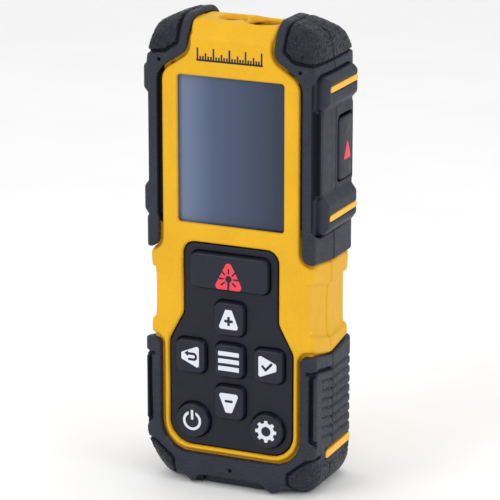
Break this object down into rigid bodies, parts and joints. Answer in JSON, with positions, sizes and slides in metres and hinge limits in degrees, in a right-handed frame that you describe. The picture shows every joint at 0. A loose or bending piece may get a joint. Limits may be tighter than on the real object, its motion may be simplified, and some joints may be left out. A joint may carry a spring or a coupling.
{
  "type": "laser distance meter",
  "caption": "Hand-held laser distance meter: yellow housing in dark rubber bumpers, display above a rubber keypad, laser and receiver windows on top, battery door behind.",
  "frame": {"origin": "centre of the bounding box's bottom: the instrument stands on its lower end", "axes": "+X the user's right, -Y the side with the display and keys, +Z along the laser beam"},
  "size_m": [0.054, 0.0292, 0.1312],
  "materials": {
    "yellow_abs": "fine satin texture",
    "bumper_rubber": "soft-touch overmoulding, satin",
    "seal_rubber": "matte",
    "button_rubber": "satin silicone with printed symbols",
    "dark_plastic": "satin",
    "display_glass": "polished, unlit display",
    "window_glass": "polished",
    "circuit_board": "solder mask",
    "contact_film": "polyimide film",
    "zinc_steel": "zinc plated",
    "brass": "turned",
    "die_cast_alloy": "as cast",
    "battery_sleeve": "printed sleeve, stands in for a whole dry cell"
  },
  "bodies": {
    "instrument": {"battery_left": "battery_sleeve", "battery_middle": "battery_sleeve", "battery_right": "battery_sleeve", "battery_tray": "dark_plastic", "board_screw_left": "zinc_steel", "board_screw_right": "zinc_steel", "buzzer": "dark_plastic", "collimator_lens": "window_glass", "display_window": "display_glass", "dome_sheet": "contact_film", "emitter_window": "window_glass", "end_piece_pin": "zinc_steel", "front_housing": "yellow_abs", "housing_screw_lower_left": "zinc_steel", "housing_screw_lower_right": "zinc_steel", "housing_screw_upper_left": "zinc_steel", "housing_screw_upper_right": "zinc_steel", "housing_seal": "seal_rubber", "keypad_plate": "dark_plastic", "laser_diode": "brass", "lcd_flex": "contact_film", "lcd_module": "display_glass", "left_boot_stripe": "yellow_abs", "left_bumper_front": "bumper_rubber", "left_bumper_rear": "bumper_rubber", "left_lower_stripe": "yellow_abs", "left_side_panel": "dark_plastic", "left_upper_stripe": "yellow_abs", "lower_boot_front": "bumper_rubber", "lower_boot_rear": "bumper_rubber", "lower_contact": "zinc_steel", "main_board": "circuit_board", "optical_bench": "die_cast_alloy", "optics_board": "circuit_board", "rear_housing": "yellow_abs", "receiver_lens": "window_glass", "receiver_sensor": "zinc_steel", "receiver_window": "window_glass", "right_boot_stripe": "yellow_abs", "right_bumper_front": "bumper_rubber", "right_bumper_rear": "bumper_rubber", "right_lower_stripe": "yellow_abs", "right_side_panel": "dark_plastic", "right_upper_stripe": "yellow_abs", "side_switch": "dark_plastic", "side_switch_board": "circuit_board", "tripod_insert": "brass", "upper_contact": "zinc_steel", "window_gasket": "seal_rubber"},
    "measure_button_body": {"measure_button": "button_rubber"},
    "plus_button_body": {"plus_button": "button_rubber"},
    "menu_button_body": {"menu_button": "button_rubber"},
    "minus_button_body": {"minus_button": "button_rubber"},
    "back_button_body": {"back_button": "button_rubber"},
    "confirm_button_body": {"confirm_button": "button_rubber"},
    "power_button_body": {"power_button": "button_rubber"},
    "settings_button_body": {"settings_button": "button_rubber"},
    "side_button_body": {"side_button": "button_rubber"},
    "battery_door_body": {"battery_door": "yellow_abs"},
    "end_piece_body": {"end_piece": "dark_plastic"}
  },
  "joints": [
    {"name": "measure_button_press", "type": "slide", "parent": "instrument", "child": "measure_button_body", "axis": [0, 1, 0], "range_m": [0, 0.0006], "stiffness_N_per_m": 900, "springref_m": -0.0004},
    {"name": "plus_button_press", "type": "slide", "parent": "instrument", "child": "plus_button_body", "axis": [0, 1, 0], "range_m": [0, 0.0006], "stiffness_N_per_m": 900, "springref_m": -0.0004},
    {"name": "menu_button_press", "type": "slide", "parent": "instrument", "child": "menu_button_body", "axis": [0, 1, 0], "range_m": [0, 0.0006], "stiffness_N_per_m": 900, "springref_m": -0.0004},
    {"name": "minus_button_press", "type": "slide", "parent": "instrument", "child": "minus_button_body", "axis": [0, 1, 0], "range_m": [0, 0.0006], "stiffness_N_per_m": 900, "springref_m": -0.0004},
    {"name": "back_button_press", "type": "slide", "parent": "instrument", "child": "back_button_body", "axis": [0, 1, 0], "range_m": [0, 0.0006], "stiffness_N_per_m": 900, "springref_m": -0.0004},
    {"name": "confirm_button_press", "type": "slide", "parent": "instrument", "child": "confirm_button_body", "axis": [0, 1, 0], "range_m": [0, 0.0006], "stiffness_N_per_m": 900, "springref_m": -0.0004},
    {"name": "power_button_press", "type": "slide", "parent": "instrument", "child": "power_button_body", "axis": [0, 1, 0], "range_m": [0, 0.0006], "stiffness_N_per_m": 900, "springref_m": -0.0004},
    {"name": "settings_button_press", "type": "slide", "parent": "instrument", "child": "settings_button_body", "axis": [0, 1, 0], "range_m": [0, 0.0006], "stiffness_N_per_m": 900, "springref_m": -0.0004},
    {"name": "side_button_press", "type": "slide", "parent": "instrument", "child": "side_button_body", "axis": [-1, 0, 0], "range_m": [0, 0.0006], "stiffness_N_per_m": 900, "springref_m": -0.0004},
    {"name": "battery_door_hinge", "type": "hinge", "parent": "instrument", "child": "battery_door_body", "pos_m": [0, 0.01298, 0.0143], "axis": [-1, 0, 0], "range_deg": [0, 100]},
    {"name": "end_piece_hinge", "type": "hinge", "parent": "instrument", "child": "end_piece_body", "pos_m": [0, 0.0112, 0.0017], "axis": [1, 0, 0], "range_deg": [0, 90]}
  ]
}
